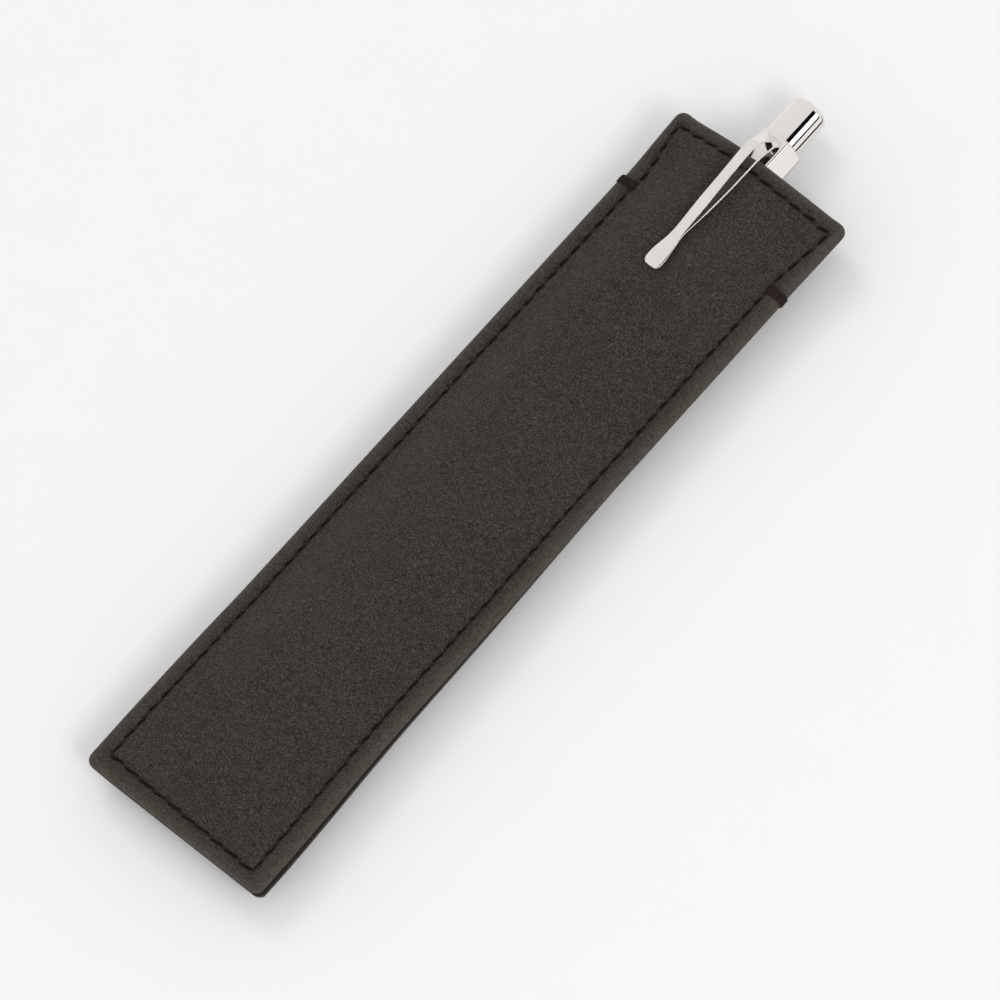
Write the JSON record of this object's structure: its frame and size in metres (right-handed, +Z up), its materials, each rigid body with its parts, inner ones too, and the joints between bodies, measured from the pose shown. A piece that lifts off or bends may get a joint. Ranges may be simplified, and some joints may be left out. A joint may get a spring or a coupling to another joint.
{
  "type": "pen case with pen",
  "caption": "Slim sewn leather pen sleeve, open at one end, holding a six-sided metal push-button pen clipped over its front panel.",
  "frame": {"origin": "middle of the whole object's footprint, on the surface that it lies on", "axes": "+Y along the case towards its open mouth and the pen's button, +Z up out of the front panel, +X across to the case's right side"},
  "size_m": [0.0392, 0.1706, 0.0181],
  "materials": {
    "nubuck": "dark charcoal-brown nubuck, fuzzy and matte",
    "board": "pressed fibre stiffener",
    "lining": "dark microfibre lining",
    "thread": "black-brown waxed thread",
    "tack_thread": "dark reddish-brown thread",
    "polished_metal": "polished plating",
    "spring_steel": "drawn wire",
    "refill_metal": "satin tube",
    "turned_brass": "turned",
    "white_plastic": "moulded, matte"
  },
  "bodies": {
    "case": {"front_leather": "nubuck", "front_stiffener": "board", "front_lining": "lining", "back_leather": "nubuck", "back_stiffener": "board", "back_lining": "lining", "seam_stitches": "thread", "front_mouth_stitches": "thread", "back_mouth_stitches": "thread", "bar_tack_left": "tack_thread", "bar_tack_right": "tack_thread"},
    "pen": {"pen_barrel": "polished_metal", "nose_bush": "turned_brass", "mechanism_housing": "turned_brass", "return_spring": "spring_steel"},
    "button": {"push_button": "polished_metal", "plunger": "white_plastic"},
    "refill": {"refill_tube": "refill_metal", "refill_neck": "white_plastic", "refill_tip": "turned_brass", "writing_ball": "refill_metal", "refill_plug": "white_plastic"},
    "cam": {"cam_rotor": "white_plastic"},
    "clip": {"clip": "polished_metal"}
  },
  "joints": [
    {"name": "pen_slide", "type": "slide", "parent": "case", "child": "pen", "axis": [0, 1, 0], "range_m": [0, 0.13]},
    {"name": "button_click", "type": "slide", "parent": "pen", "child": "button", "axis": [0, -1, 0], "range_m": [0, 0.004], "stiffness_N_per_m": 300, "springref_m": -0.002},
    {"name": "refill_travel", "type": "slide", "parent": "pen", "child": "refill", "axis": [0, -1, 0], "range_m": [0, 0.004], "deforming": ["return_spring"]},
    {"name": "cam_turn", "type": "hinge", "parent": "refill", "child": "cam", "pos_m": [-0.002, 0.0567, 0.00695], "axis": [0, -1, 0], "range_deg": [0, 45]},
    {"name": "clip_flex", "type": "hinge", "parent": "pen", "child": "clip", "pos_m": [-0.002, 0.07465, 0.01125], "axis": [-1, 0, 0], "range_deg": [0, 5], "stiffness_Nm_per_rad": 2.5}
  ],
  "couplings": [
    {"joint": "refill_travel", "follows": "button_click", "ratio": 1},
    {"joint": "cam_turn", "follows": "button_click", "rad_per_m": 196.3}
  ]
}
